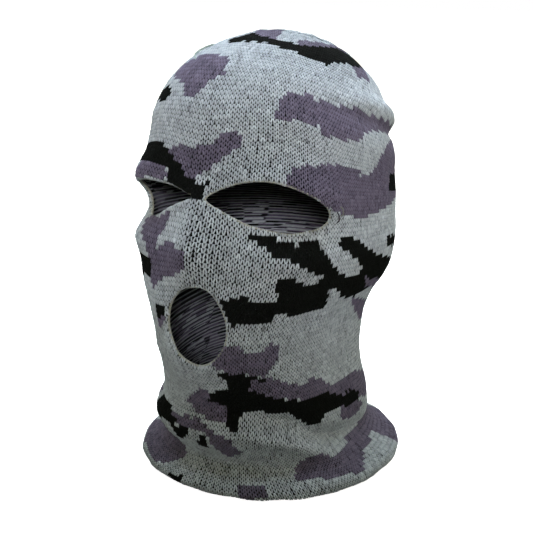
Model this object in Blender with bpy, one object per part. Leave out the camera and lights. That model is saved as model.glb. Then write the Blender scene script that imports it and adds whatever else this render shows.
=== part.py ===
"""Three-hole knitted balaclava, standing open on its flared hem.

Metres, +Z up.  The face looks along -Y, the wearer's left is +X, and the hem rests on z = 0 with the
centre of the overall box on the Z axis.  The knitted body is a shell built from rings; the turned edges
of the openings and of the hem, the yarn that draws the crown shut and the sewn-in label are pieces of
their own.

Sizes are millimetres, angles round the body are measured from the face towards the wearer's left, and
"ring" is a height measured up the body, which follows the lean of the crown.
"""
import bpy
import bmesh
import numpy as np
from math import radians, pi, sin, cos

# ------------------------------------------------------------------ body
MM = 0.001            # metres in a millimetre
KNIT = 2.6            # thickness of the worn fabric
GAP = 0.35            # clearance between neighbouring pieces
SQUARENESS = 2 / 2.15     # rings are slightly squarer than an ellipse
N_ROUND = 60          # facets round the body
ORIGIN = np.array([2.21, -8.80, 0.0])   # centre of the overall box on the rest plane, in the rings' axes

# ring, half width, reach to the front, reach to the back, offset to the left
RINGS = np.array([
    [3.0, 88.3, 95.7, 76.8, 2.2],       # rim of the flared hem
    [7.0, 84.3, 97.6, 77.1, 3.2],
    [12.0, 76.0, 92.6, 73.9, 1.2],
    [18.0, 70.5, 89.3, 71.7, 0.1],      # valley above the rim
    [26.0, 67.6, 89.1, 69.4, -0.4],
    [36.0, 66.2, 92.4, 64.4, -0.8],     # slack roll of the neck
    [48.0, 64.5, 88.0, 60.5, -0.4],
    [62.0, 61.8, 90.5, 59.0, 0.0],      # neck
    [80.0, 60.2, 96.0, 60.5, 0.0],
    [98.0, 61.5, 101.0, 64.3, 0.0],     # chin
    [118.0, 68.7, 101.0, 70.5, 0.0],    # mouth
    [137.0, 79.3, 96.0, 78.0, 0.0],
    [156.0, 81.7, 90.5, 83.5, 0.0],     # cheeks
    [175.0, 80.4, 86.3, 86.0, 0.0],     # eyes
    [195.0, 79.6, 82.7, 88.0, 0.0],     # brow
    [215.0, 79.0, 78.5, 89.4, 0.0]])    # start of the crown
RIM_C, CROWN_C = RINGS[0, 0], RINGS[-1, 0]
TOP_C = 292.0         # ring where the crown closes
CROWN_POWER = 1.81    # superellipse power of the crown's profile
CROWN_SHIFT = 18.0    # movement of the crown's rings to the back by the time they close

# the rings lean back: ring, lean in degrees
LEAN = np.array([[0, 0], [110, 0], [150, 3], [185, 10.5], [215, 22], [238, 28], [262, 30], [292, 34]], float)
# corrections to the crown's rings: ring, half width, front, back
CROWN_TRIM = np.array([[215, 0, 0, 0], [235, -1.5, 0, 0], [252, -0.5, -1.2, 0], [268, 2.5, -2.5, -0.5],
                       [282, 1.0, 0.5, 0], [292, 0, 0, 0]], float)
# rings of the body's mesh; the first starts just above the hem's edge
MESH_RINGS = np.array([5.3, 9, 13, 18, 24, 30, 36, 42, 49, 57, 67, 79, 91, 102, 113, 124, 135, 145, 153,
                       161, 169, 177, 185, 194, 204, 213, 221, 228, 235, 242, 250, 258, 266, 274, 281,
                       286, 290])

# ------------------------------------------------------------------ relief
# what the face pushes out, the same on both sides: amount, angle from the front, its width, ring, its height
FACE = [(9.0, 0, 7.5, 153, 10),         # nose
        (5.0, 0, 6.0, 168, 12),         # bridge of the nose
        (9.0, 42, 14, 185.5, 7.5),      # brow
        (-7.5, 40, 13, 168.0, 7.5),     # eye hollow
        (6.0, 44, 14, 155.5, 7.0),      # cheek
        (2.5, 0, 14, 100, 12)]          # chin
# slack roll and the crease under it: amount, angle, its width, ring, its height
CROWN_ROLL = (4.6, 112, 40, 237, 5.0)
CROWN_CREASE = (-3.0, 104, 38, 228.5, 4.2)
# fold of the neck: angles, then the value at each
FOLD_RING = ([-180, -60, -30, 0, 35, 60, 85, 120, 180], [46, 42, 44, 43, 38, 29, 19, 16, 18])
FOLD_HEIGHT = ([-180, -110, -60, -20, 20, 50, 80, 110, 180], [1, 1, 2, 3.5, 4.5, 4.5, 2, .5, .5])
HOLLOW_DEPTH = ([-180, -60, -10, 20, 55, 85, 110, 180], [0, 0, 1, 3.5, 3.5, 1.5, 0, 0])
FOLD_SPREAD, HOLLOW_SPREAD = 5.5, 6.0
HOLLOW_ABOVE = 15     # from the fold up to the hollow

# ------------------------------------------------------------------ openings
# (angle in degrees, ring) round the visible edge of each
LEFT_EYE = [(3, 180), (7, 184), (13, 187), (21, 189.5), (29, 190.5), (36, 190), (43, 188), (51, 184),
            (57, 179), (58.5, 174), (55, 170), (48, 168), (41, 167), (32, 168), (22, 170), (16, 172.5),
            (9, 176)]
RIGHT_EYE = [(-3, 180), (-8, 182), (-14, 183.5), (-20, 184.2), (-27, 184.3), (-35, 184), (-43, 182.5),
             (-50, 180), (-55.5, 176), (-56.5, 171.5), (-53, 167.5), (-46, 165), (-38, 166.5),
             (-29, 169.5), (-21, 172), (-12, 176)]
MOUTH = [(1, 137.5), (5, 138), (9, 135.5), (14, 129.5), (18.5, 122), (20.5, 113.5), (20, 105), (16, 97),
         (9.5, 91.5), (3, 91), (-4, 96), (-9, 103), (-12.5, 112), (-11, 124), (-7, 132), (-3, 136)]
EDGE_WIDE = 2.3       # turned edge, across, in the fabric's plane
EDGE_DEEP = 3.8       # turned edge, through the fabric
EDGE_POINTS = 56      # steps round an opening
EDGE_SIDES = 10       # facets of the edge's section
CURVE_STEPS = 24      # steps between two outline points
# cutter layers from the inside out: distance along the fabric's normal, then horizontally outwards
CUTTER_LAYERS = [(-2.3, -10), (-2.3, 0), (0, 0), (2.3, 0), (2.3, 12)]
CUTTER_TIP_IN, CUTTER_TIP_OUT = 13.0, 14.0

# ------------------------------------------------------------------ hem
HEM_TOP_C = 4.9       # ring where the hem's edge ends
HEM_TOP_HALF = 1.45   # half thickness there
HEM_NORMAL_C = 3.2    # ring whose normal is used at the rim
HEM_RIM_NORMAL, HEM_RIM_OUT = 1.6, 0.2      # rim's outer corner, along the normal and outwards
# lower corners of the section: distance outwards from the rim, height
HEM_FOOT = [(2.2, 2.2), (1.9, 0.8), (1.0, 0), (-1.9, 0), (-2.6, 0.8)]

# ------------------------------------------------------------------ closing yarn
YARN = 1.8            # diameter
YARN_SIDES = 8
YARN_DROP = 0.9       # extra distance below the crown
GATHER_R = 7.0        # ring of gathered loops
GATHER_WAVE, GATHER_LOOPS, GATHER_STEPS = 0.7, 8, 32
TAIL_LENGTH, TAIL_STEPS, TAIL_DROP = 38.0, 24, 0.4
TAIL_SWAY, TAIL_TURN = 5.0, 2.4             # sideways: size, angle in radians
TAIL_BOW, TAIL_FORWARD = 9.0, 4.0           # backward bow, forward drift
KNOT_FROM, KNOT_TO, KNOT_SCALE = 0.02, 0.12, 2.1    # thick part, as shares of the tail

# ------------------------------------------------------------------ label
LABEL_W, LABEL_H, LABEL_T = 34.0, 24.0, 0.7
LABEL_CORNER = 2.0    # cut off the lower corners
LABEL_TOP_Z, LABEL_Y = 50.0, 56.15
HINGE_BELOW_TOP = 0.4
STITCHES = 6
STITCH_INSET = 2.0    # from the label's sides
STITCH_LOW, STITCH_HIGH = 0.85, 2.0         # above the label's top
THREAD_R, THREAD_END_R = 0.34, 0.12
THREAD_SLANT = 0.6    # sideways slant of the thread's sections
THREAD_SIDES = 8


# ------------------------------------------------------------------ the knit's middle surface
def monotone(table, column, at):
    """Smooth curve through a column of control values, never overshooting; column 0 is the position."""
    x, y = table[:, 0], table[:, column]
    step = np.diff(x)
    rise = np.diff(y) / step
    slope = np.zeros(len(x))
    for i in range(1, len(x) - 1):
        if rise[i - 1] * rise[i] > 0:
            w1, w2 = 2 * step[i] + step[i - 1], step[i] + 2 * step[i - 1]
            slope[i] = (w1 + w2) / (w1 / rise[i - 1] + w2 / rise[i])
    slope[0], slope[-1] = rise[0], rise[-1]
    at = np.clip(at, x[0], x[-1])
    k = np.clip(np.searchsorted(x, at) - 1, 0, len(x) - 2)
    t = (at - x[k]) / step[k]
    return ((1 + 2 * t) * (1 - t) ** 2 * y[k] + t * (1 - t) ** 2 * step[k] * slope[k]
            + t * t * (3 - 2 * t) * y[k + 1] + t * t * (t - 1) * step[k] * slope[k + 1])


def lean_at(c):
    return np.radians(monotone(LEAN, 1, c))


def bell(x, spread):
    return np.exp(-(x / spread) ** 2 / 2)


def bump(angle, c, amount, at, wide, ring, high):
    return amount * bell(angle - at, wide) * bell(c - ring, high)


def ease(start, end, x):
    t = np.clip((x - start) / (end - start), 0, 1)
    return t * t * (3 - 2 * t)


def relief(phi, c):
    """Outward movement: the face under the knit, and the folds of the slack fabric."""
    angle = np.degrees((phi + pi) % (2 * pi) - pi)
    out = sum(bump(np.abs(angle), c, *feature) for feature in FACE)
    # slack roll over a crease, round the back of the crown on the wearer's left
    full_turn = angle % 360
    climb = 0.25 * (np.clip(full_turn, 50, 150) - 63)
    out = out + bump(full_turn, c - climb, *CROWN_ROLL) * ease(50, 80, full_turn)
    out = out + bump(full_turn, c - climb, *CROWN_CREASE)
    # fold of the neck that sinks towards the rim on the wearer's left, with a hollow above it
    fold = np.interp(angle, *FOLD_RING)
    return (out + np.interp(angle, *FOLD_HEIGHT) * bell(c - fold, FOLD_SPREAD)
            - np.interp(angle, *HOLLOW_DEPTH) * bell(c - fold - HOLLOW_ABOVE, HOLLOW_SPREAD))


def running_sum(values, step):
    """Trapezoid integral up to each sample."""
    return np.concatenate([[0], np.cumsum((values[1:] + values[:-1]) / 2 * step)])


# path of the crown's ring centres, to the back and up
CROWN_STEPS = np.linspace(CROWN_C, TOP_C, 161)
CROWN_BACK, CROWN_UP = (running_sum(part(lean_at(CROWN_STEPS)), CROWN_STEPS[1] - CROWN_STEPS[0])
                        for part in (np.sin, np.cos))


def surface(phi, c):
    """Point of the fabric's middle at angle phi (radians) on ring c."""
    phi = np.asarray(phi, float) + 0 * np.asarray(c, float)
    c = np.asarray(c, float) + 0 * phi
    half, front, back, left = (monotone(RINGS, k, np.minimum(c, CROWN_C)) for k in (1, 2, 3, 4))
    t = np.clip((c - CROWN_C) / (TOP_C - CROWN_C), 0, 1)
    scale = (1 - t ** CROWN_POWER) ** (1 / CROWN_POWER)
    trim_half, trim_front, trim_back = (monotone(CROWN_TRIM, k, c) for k in (1, 2, 3))
    out = relief(phi, c)
    lean = lean_at(c)
    sn, cs = np.sin(phi), np.cos(phi)
    across, along = np.sign(sn) * np.abs(sn) ** SQUARENESS, np.abs(cs) ** SQUARENESS
    # relief turns from outward to upward as the crown closes
    up = out * np.sqrt(np.clip(1 - scale ** 2, 0, 1)) * 0.8
    x = (half * scale + trim_half) * across + out * sn * scale ** 0.5 + left
    reach = np.where(cs > 0, -(front * scale + trim_front) * along, (back * scale + trim_back) * along)
    depth = CROWN_SHIFT * (1 - scale) + reach - out * cs * scale ** 0.5
    centre_y = np.where(c > CROWN_C, np.interp(c, CROWN_STEPS, CROWN_BACK), 0.0)
    centre_z = np.where(c > CROWN_C, CROWN_C + np.interp(c, CROWN_STEPS, CROWN_UP), c)
    return np.stack([x, centre_y + depth * np.cos(lean) + up * np.sin(lean),
                     centre_z - depth * np.sin(lean) + up * np.cos(lean)], -1)


def normal(phi, c):
    """Outward unit normal of that surface, from differences kept clear of the rim and the apex."""
    turn, rise = 0.02, 0.4
    high = np.minimum(c + rise, TOP_C - 0.05)
    low = np.maximum(np.minimum(c, TOP_C - 0.5) - rise, RIM_C)
    n = np.cross(surface(phi + turn, c) - surface(phi - turn, c), surface(phi, high) - surface(phi, low))
    return n / np.maximum(np.linalg.norm(n, axis=-1, keepdims=True), 1e-9)


PHI = (np.arange(N_ROUND) / N_ROUND) * 2 * pi - pi
APEX = surface(np.array([0.0]), np.array([TOP_C]))[0]
TOP_LEAN = radians(LEAN[-1, 1])
CROWN_AXIS = np.array([0, sin(TOP_LEAN), cos(TOP_LEAN)])


# ------------------------------------------------------------------ mesh helpers
def material(name, colour, roughness):
    mat = bpy.data.materials.new(name)
    mat.use_nodes = True
    shader = mat.node_tree.nodes["Principled BSDF"]
    shader.inputs["Base Color"].default_value = (*colour, 1)
    shader.inputs["Roughness"].default_value = roughness
    shader.inputs["Metallic"].default_value = 0.0
    mat.diffuse_color = (*colour, 1)
    return mat


def add(name, verts, faces, mat):
    """Mesh object from points in the rings' axes, its faces turned outwards."""
    mesh = bpy.data.meshes.new(name)
    points = [tuple(float(k) * MM for k in np.asarray(v) - ORIGIN) for v in verts]
    mesh.from_pydata(points, [], faces)
    bm = bmesh.new()
    bm.from_mesh(mesh)
    bmesh.ops.remove_doubles(bm, verts=bm.verts, dist=1e-6)
    bmesh.ops.recalc_face_normals(bm, faces=bm.faces)
    bmesh.ops.triangulate(bm, faces=bm.faces)
    if bm.calc_volume(signed=True) < 0:
        bmesh.ops.reverse_faces(bm, faces=bm.faces)
    bm.to_mesh(mesh)
    bm.free()
    mesh.materials.append(mat)
    ob = bpy.data.objects.new(name, mesh)
    bpy.context.scene.collection.objects.link(ob)
    return ob


def neighbours(count):
    """Each index of a closed ring with the one after it."""
    return [(j, (j + 1) % count) for j in range(count)]


def band(first, second, count):
    """Quads between two rings of count points, given the index each ring starts at."""
    return [(first + j, first + w, second + w, second + j) for j, w in neighbours(count)]


def loft(rings, closed=True):
    """Tube through rings of equal size; closed joins the last ring to the first."""
    n, k = len(rings), len(rings[0])
    faces = []
    for i, following in neighbours(n)[:n if closed else n - 1]:
        faces += band(i * k, following * k, k)
    if not closed:
        faces.append(tuple(range(k))[::-1])
        faces.append(tuple((n - 1) * k + q for q in range(k)))
    return [p for ring in rings for p in ring], faces


def turns(count):
    return [2 * pi * i / count for i in range(count)]


def oval(centre, across, along, sides):
    """Ring of points round a centre with two half-axis vectors."""
    return [centre + across * cos(b) + along * sin(b) for b in turns(sides)]


# ------------------------------------------------------------------ body and openings
def build_body(mat):
    """Shell of outer and inner skins, closed at the apex and joined round the bottom."""
    grid_phi, grid_c = np.meshgrid(PHI, MESH_RINGS)
    middle, offset = surface(grid_phi, grid_c), normal(grid_phi, grid_c) * KNIT / 2
    verts = np.concatenate([(middle + offset).reshape(-1, 3), (middle - offset).reshape(-1, 3),
                            [APEX + CROWN_AXIS * KNIT / 2, APEX - CROWN_AXIS * KNIT / 2]])
    inner = len(MESH_RINGS) * N_ROUND       # index of the inner skin's first point
    last = inner - N_ROUND
    faces = []
    for i in range(len(MESH_RINGS) - 1):
        for face in band(i * N_ROUND, (i + 1) * N_ROUND, N_ROUND):
            faces.append(face)
            faces.append(tuple(inner + v for v in face[::-1]))
    for j, w in neighbours(N_ROUND):
        faces.append((last + j, last + w, 2 * inner))
        faces.append((inner + last + w, inner + last + j, 2 * inner + 1))
        faces.append((w, j, inner + j, inner + w))
    return add("knit_body", verts, faces, mat)


def smooth_loop(outline):
    """Closed Catmull-Rom curve through (angle, ring) points, evenly spaced by length on the fabric."""
    points = np.array(outline, float)
    t = np.linspace(0, 1, CURVE_STEPS, endpoint=False)[:, None]
    parts = []
    for a, b, c, d in zip(np.roll(points, 1, 0), points, np.roll(points, -1, 0), np.roll(points, -2, 0)):
        parts.append(0.5 * (2 * b + (c - a) * t + (2 * a - 5 * b + 4 * c - d) * t ** 2
                            + (3 * b - a - 3 * c + d) * t ** 3))
    curve = np.concatenate(parts)
    xyz = surface(np.radians(curve[:, 0]), curve[:, 1])
    step = np.linalg.norm(np.roll(xyz, -1, 0) - xyz, axis=1)
    length = np.concatenate([[0], np.cumsum(step)])
    at = np.linspace(0, length[-1], EDGE_POINTS, endpoint=False)
    curve = np.vstack([curve, curve[:1]])
    return np.stack([np.interp(at, length, curve[:, k]) for k in (0, 1)], 1)


def frames(phi, c):
    """Fabric point, outward normal and the in-plane direction away from the opening, round a loop."""
    p, n = surface(phi, c), normal(phi, c)
    tangent = np.roll(p, -1, 0) - np.roll(p, 1, 0)
    tangent /= np.linalg.norm(tangent, axis=1, keepdims=True)
    away = np.cross(tangent, n)
    away /= np.linalg.norm(away, axis=1, keepdims=True)
    if np.sum((p - p.mean(0)) * away) < 0:
        away = -away
    square = np.cross(away, tangent)
    return p, square * np.sign(np.sum(square * n, axis=1, keepdims=True)), away


def build_opening(body, name, outline, mat):
    """Cut one opening in the body and put its turned edge into it."""
    loop = smooth_loop(outline)
    phi = np.radians(loop[:, 0])
    p, n, away = frames(phi, loop[:, 1])
    rim = p + away * (EDGE_WIDE + GAP)
    outward = np.stack([np.sin(phi), -np.cos(phi), 0 * phi], 1)
    mid_phi = np.radians(loop[:, 0].mean())
    hub = surface(mid_phi, loop[:, 1].mean())
    hub_out = np.array([sin(mid_phi), -cos(mid_phi), 0])
    verts, faces = loft([rim + n * along + outward * fan for along, fan in CUTTER_LAYERS], closed=False)
    faces = faces[:-2]      # pointed ends take the place of the flat caps
    count = len(verts)
    verts += [hub - hub_out * CUTTER_TIP_IN, hub + hub_out * CUTTER_TIP_OUT]
    for j, w in neighbours(EDGE_POINTS):
        faces.append((w, j, count))
        faces.append((count - EDGE_POINTS + j, count - EDGE_POINTS + w, count + 1))
    cutter = add(name + "_cutter", verts, faces, body.data.materials[0])
    mod = body.modifiers.new(name, "BOOLEAN")
    mod.operation, mod.solver, mod.object = "DIFFERENCE", "EXACT", cutter
    bpy.context.view_layer.objects.active = body
    bpy.ops.object.modifier_apply(modifier=mod.name)
    bpy.data.objects.remove(cutter, do_unlink=True)

    half_wide, half_deep = away * (EDGE_WIDE / 2), n * (EDGE_DEEP / 2)
    rings = [oval(p[i] + half_wide[i], half_wide[i], half_deep[i], EDGE_SIDES)
             for i in range(EDGE_POINTS)]
    add(name, *loft(rings), mat)


# ------------------------------------------------------------------ other pieces
def build_hem(mat):
    """The hem's turned edge, with a flat underside."""
    rings = []
    for phi in PHI:
        top = surface(phi, HEM_TOP_C)
        top_offset = normal(phi, HEM_TOP_C) * HEM_TOP_HALF
        rim = surface(phi, RIM_C)
        foot = np.array([rim[0], rim[1], 0.0])
        outward = foot / np.linalg.norm(foot)
        ring = [top + top_offset,
                rim + normal(phi, HEM_NORMAL_C) * HEM_RIM_NORMAL + outward * HEM_RIM_OUT]
        ring += [foot + outward * out + [0, 0, height] for out, height in HEM_FOOT]
        rings.append(ring + [top - top_offset])
    add("hem_edge", *loft(rings), mat)


def build_yarn(mat):
    """Wavy ring of yarn inside the crown, and its hanging tail."""
    side, behind, up = np.eye(3)
    tilted = np.cross(CROWN_AXIS, side)
    centre = APEX - CROWN_AXIS * (KNIT / 2 + GAP + YARN / 2 + YARN_DROP)
    rings = []
    for a in turns(GATHER_STEPS):
        out = side * cos(a) + tilted * sin(a)
        at = centre + out * (GATHER_R + GATHER_WAVE * cos(GATHER_LOOPS * a))
        rings.append(oval(at, out * YARN / 2, CROWN_AXIS * YARN / 2, YARN_SIDES))
    add("crown_gather_yarn", *loft(rings), mat)

    rings = []
    for i in range(TAIL_STEPS + 1):
        t = i / TAIL_STEPS
        r = YARN / 2 * (KNOT_SCALE if KNOT_FROM < t < KNOT_TO else 1.0)
        sway = TAIL_SWAY * sin(TAIL_TURN * t)
        back = TAIL_BOW * t * (1 - t) - TAIL_FORWARD * t
        at = centre - CROWN_AXIS * TAIL_DROP + side * sway + behind * back - up * TAIL_LENGTH * t
        rings.append(oval(at, side * r, behind * r, YARN_SIDES))
    add("yarn_tail", *loft(rings, closed=False), mat)


def build_label(mat):
    """Blank label inside the back of the neck, hung from an empty near its top."""
    hinge = bpy.data.objects.new("label_hinge", None)
    hinge.location = tuple((np.array([0, LABEL_Y, LABEL_TOP_Z - HINGE_BELOW_TOP]) - ORIGIN) * MM)
    bpy.context.scene.collection.objects.link(hinge)
    w, top, bottom = LABEL_W / 2, LABEL_TOP_Z, LABEL_TOP_Z - LABEL_H
    outline = [(-w, top), (w, top), (w, bottom + LABEL_CORNER), (w - LABEL_CORNER, bottom),
               (-w + LABEL_CORNER, bottom), (-w, bottom + LABEL_CORNER)]
    m = len(outline)
    verts = [(x, LABEL_Y + y, z) for y in (-LABEL_T / 2, LABEL_T / 2) for x, z in outline]
    faces = [tuple(range(m)), tuple(range(2 * m - 1, m - 1, -1))] + band(0, m, m)
    label = add("care_label", verts, faces, mat)
    label.parent = hinge
    for v in label.data.vertices:
        v.co -= hinge.location


def build_stitches(mat):
    """One running thread in a zigzag along the label's upper edge."""
    steps = STITCHES * 2
    rings = []
    for i in range(steps + 1):
        x = -LABEL_W / 2 + STITCH_INSET + (LABEL_W - 2 * STITCH_INSET) * i / steps
        z = LABEL_TOP_Z + (STITCH_LOW if i % 2 else STITCH_HIGH)
        r = THREAD_END_R if i in (0, steps) else THREAD_R
        slant = r * THREAD_SLANT * (1 if i % 2 else -1)
        rings.append(oval(np.array([x, LABEL_Y, z]), np.array([0, r, 0]), np.array([slant, 0, r]),
                          THREAD_SIDES))
    add("label_stitches", *loft(rings, closed=False), mat)


# ------------------------------------------------------------------ assembly
for old in list(bpy.data.objects):
    bpy.data.objects.remove(old, do_unlink=True)

knit = material("camouflage_knit", colour=(0.33, 0.36, 0.36), roughness=0.95)
edge_knit = material("turned_edge_knit", colour=(0.28, 0.31, 0.30), roughness=0.95)
yarn = material("closing_yarn", colour=(0.36, 0.40, 0.38), roughness=0.9)
ribbon = material("label_ribbon", colour=(0.80, 0.80, 0.77), roughness=0.7)
thread = material("sewing_thread", colour=(0.10, 0.10, 0.11), roughness=0.6)

knit_body = build_body(knit)
build_opening(knit_body, "left_eye_edge", LEFT_EYE, edge_knit)
build_opening(knit_body, "right_eye_edge", RIGHT_EYE, edge_knit)
build_opening(knit_body, "mouth_edge", MOUTH, edge_knit)
build_hem(edge_knit)
build_yarn(yarn)
build_label(ribbon)
build_stitches(thread)
bpy.context.view_layer.update()
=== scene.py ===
# A knitted camouflage face mask with two eye openings and a mouth opening, standing on its hem.
# The hem's rim lies near z = 0, the face looks along -Y and the wearer's left is +X.
# Shapes are worked out in millimetres in "ring axes": an angle round the mask (0 at the front,
# growing towards the wearer's left) and a ring, the height up the mask, which leans back and
# closes at the crown. "azimuth" is that angle in radians, "angle" the same in degrees.
from math import cos, pi, radians, sin

import bmesh
import bpy
import numpy as np
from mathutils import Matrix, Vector


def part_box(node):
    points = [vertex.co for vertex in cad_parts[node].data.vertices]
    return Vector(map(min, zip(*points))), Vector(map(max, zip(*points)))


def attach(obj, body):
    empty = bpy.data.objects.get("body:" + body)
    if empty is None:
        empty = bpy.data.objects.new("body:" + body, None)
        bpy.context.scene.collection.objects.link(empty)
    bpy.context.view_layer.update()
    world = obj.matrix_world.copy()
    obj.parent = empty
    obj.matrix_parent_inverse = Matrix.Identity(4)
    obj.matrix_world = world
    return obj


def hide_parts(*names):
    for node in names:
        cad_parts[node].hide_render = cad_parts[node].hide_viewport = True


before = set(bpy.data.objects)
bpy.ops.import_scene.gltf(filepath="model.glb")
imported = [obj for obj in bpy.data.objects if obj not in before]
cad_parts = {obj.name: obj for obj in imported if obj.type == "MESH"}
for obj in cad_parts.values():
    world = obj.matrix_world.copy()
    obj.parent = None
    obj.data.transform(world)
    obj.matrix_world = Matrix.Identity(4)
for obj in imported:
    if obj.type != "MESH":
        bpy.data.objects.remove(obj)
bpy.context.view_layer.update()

MM = 0.001
DEGREE = pi / 180
rng = np.random.default_rng(7)

# ============================================================ middle surface of the fabric (mm)
SQUARENESS = 2 / 2.15    # exponent that makes each ring slightly squarer than an ellipse
# ring, half width, reach to the front, reach to the back, offset to the left
RINGS = np.array([
    [3.0, 88.3, 95.7, 76.8, 2.2], [7.0, 84.3, 97.6, 77.1, 3.2], [12.0, 76.0, 92.6, 73.9, 1.2],
    [18.0, 70.5, 89.3, 71.7, 0.1], [26.0, 67.6, 89.1, 69.4, -0.4], [36.0, 66.2, 92.4, 64.4, -0.8],
    [48.0, 64.5, 88.0, 60.5, -0.4], [62.0, 61.8, 90.5, 59.0, 0.0], [80.0, 60.2, 96.0, 60.5, 0.0],
    [98.0, 61.5, 101.0, 64.3, 0.0], [118.0, 68.7, 101.0, 70.5, 0.0], [137.0, 79.3, 96.0, 78.0, 0.0],
    [156.0, 81.7, 90.5, 83.5, 0.0], [175.0, 80.4, 86.3, 86.0, 0.0], [195.0, 79.6, 82.7, 88.0, 0.0],
    [215.0, 79.0, 78.5, 89.4, 0.0]])
RIM = RINGS[0, 0]
CROWN, TOP = 215.0, 292.0                   # rings where the crown starts and closes
CROWN_POWER, CROWN_SHIFT = 1.81, 18.0       # roundness of the closing, its drift to the back
# ring, lean to the back in degrees
LEAN = np.array([[0, 0], [110, 0], [150, 3], [185, 10.5], [215, 22], [238, 28], [262, 30],
                 [292, 34]], float)
# ring, addition to the half width, to the front reach, to the back reach
CROWN_TRIM = np.array([[215, 0, 0, 0], [235, -1.5, 0, 0], [252, -0.5, -1.2, 0],
                       [268, 2.5, -2.5, -0.5], [282, 1.0, 0.5, 0], [292, 0, 0, 0]], float)
# height, angle to either side, spread in degrees, ring, spread in rings: nose, brow to cheek, chin
FACE_BUMPS = [(9.0, 0, 7.5, 153, 10), (5.0, 0, 6.0, 168, 12), (9.0, 42, 14, 185.5, 7.5),
              (-7.5, 40, 13, 168.0, 7.5), (6.0, 44, 14, 155.5, 7.0), (2.5, 0, 14, 100, 12)]
# openings as (angle, ring) round the visible edge
LEFT_EYE = [
    (3, 180), (7, 184), (13, 187), (21, 189.5), (29, 190.5), (36, 190), (43, 188), (51, 184),
    (57, 179), (58.5, 174), (55, 170), (48, 168), (41, 167), (32, 168), (22, 170), (16, 172.5),
    (9, 176)]
RIGHT_EYE = [
    (-3, 180), (-8, 182), (-14, 183.5), (-20, 184.2), (-27, 184.3), (-35, 184), (-43, 182.5),
    (-50, 180), (-55.5, 176), (-56.5, 171.5), (-53, 167.5), (-46, 165), (-38, 166.5),
    (-29, 169.5), (-21, 172), (-12, 176)]
MOUTH = [
    (1, 137.5), (5, 138), (9, 135.5), (14, 129.5), (18.5, 122), (20.5, 113.5), (20, 105), (16, 97),
    (9.5, 91.5), (3, 91), (-4, 96), (-9, 103), (-12.5, 112), (-11, 124), (-7, 132), (-3, 136)]
KNIT_THICKNESS = 2.6


def monotone(stations, values, query):
    """Cubic through a table that never overshoots its values."""
    gap = np.diff(stations)
    slope = np.diff(values) / gap
    tangent = np.zeros(len(stations))
    for i in range(1, len(stations) - 1):
        if slope[i - 1] * slope[i] > 0:
            before, after = 2 * gap[i] + gap[i - 1], gap[i] + 2 * gap[i - 1]
            tangent[i] = (before + after) / (before / slope[i - 1] + after / slope[i])
    tangent[0], tangent[-1] = slope[0], slope[-1]
    query = np.clip(query, stations[0], stations[-1])
    k = np.clip(np.searchsorted(stations, query) - 1, 0, len(stations) - 2)
    part = (query - stations[k]) / gap[k]
    return ((1 + 2 * part) * (1 - part) ** 2 * values[k]
            + part * (1 - part) ** 2 * gap[k] * tangent[k]
            + part * part * (3 - 2 * part) * values[k + 1]
            + part * part * (part - 1) * gap[k] * tangent[k + 1])


def bell(x, spread):
    return np.exp(-(x / spread) ** 2 / 2)


def ease(start, end, x):
    part = np.clip((x - start) / (end - start), 0, 1)
    return part * part * (3 - 2 * part)


def unit(vectors, least=0.0):
    return vectors / np.maximum(np.linalg.norm(vectors, axis=-1, keepdims=True), least)


def radial(azimuth):
    """Level direction straight out from the axis."""
    return np.stack([np.sin(azimuth), -np.cos(azimuth), 0 * azimuth], -1)


def plain_folds(angle, ring):
    """The CAD solid's neck: a low roll with a hollow above it."""
    roll = np.interp(angle, [-180, -60, -30, 0, 35, 60, 85, 120, 180],
                     [46, 42, 44, 43, 38, 29, 19, 16, 18])
    height = np.interp(angle, [-180, -110, -60, -20, 20, 50, 80, 110, 180],
                       [1, 1, 2, 3.5, 4.5, 4.5, 2, .5, .5])
    depth = np.interp(angle, [-180, -60, -10, 20, 55, 85, 110, 180],
                      [0, 0, 1, 3.5, 3.5, 1.5, 0, 0])
    return height * bell(ring - roll, spread=5.5) - depth * bell(ring - roll - 15, spread=6.0)


def worn_folds(angle, ring):
    """The slack neck as it drapes: a roll that sinks towards the rim on the wearer's left, a
    hollow above it, and the valley between the roll and the rim."""
    roll = np.interp(angle, [-180, -60, -30, -14, 14, 33, 45, 53, 61, 70, 85, 180],
                     [46, 42, 44, 46, 47, 43, 37.5, 31, 25, 18, 12, 12])
    roll_height = np.interp(angle, [-180, -110, -60, -20, 14, 55, 66, 80, 180],
                            [1, 1, 2.8, 4.6, 6.0, 6.0, 3.4, 0.5, 0.5])
    hollow = np.interp(angle, [-180, 25, 37, 46, 55, 63, 72, 83, 98, 110, 180],
                       [58, 58, 52, 46, 40, 34, 28, 23, 19, 17, 17])
    hollow_depth = np.interp(angle, [-180, -10, 20, 50, 75, 95, 125, 150, 180],
                             [0, 0, 2.4, 6.2, 6.6, 6.0, 4.4, 2.0, 1.6])
    valley = np.interp(angle, [-180, -46, -33, -13, 7, 24, 36, 44, 55, 180],
                       [17, 20, 20, 19, 18, 18, 15.5, 14, 12, 12])
    valley_depth = np.interp(angle, [-180, -150, -90, -40, -20, 30, 44, 58, 70, 180],
                             [1.6, 2.0, 3.0, 5.0, 7.4, 7.6, 6.0, 2.4, 0, 0])
    left_swell = 2.2 * bell(angle - 92, spread=26) * bell(ring - 44, spread=9)
    rim_swell = 1.5 * bell(ring - 5.5, spread=2.6)
    return (left_swell + roll_height * bell(ring - roll, spread=5.5)
            - hollow_depth * bell(ring - hollow, spread=5.2)
            - valley_depth * bell(ring - valley, spread=5.6) + rim_swell)


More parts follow.
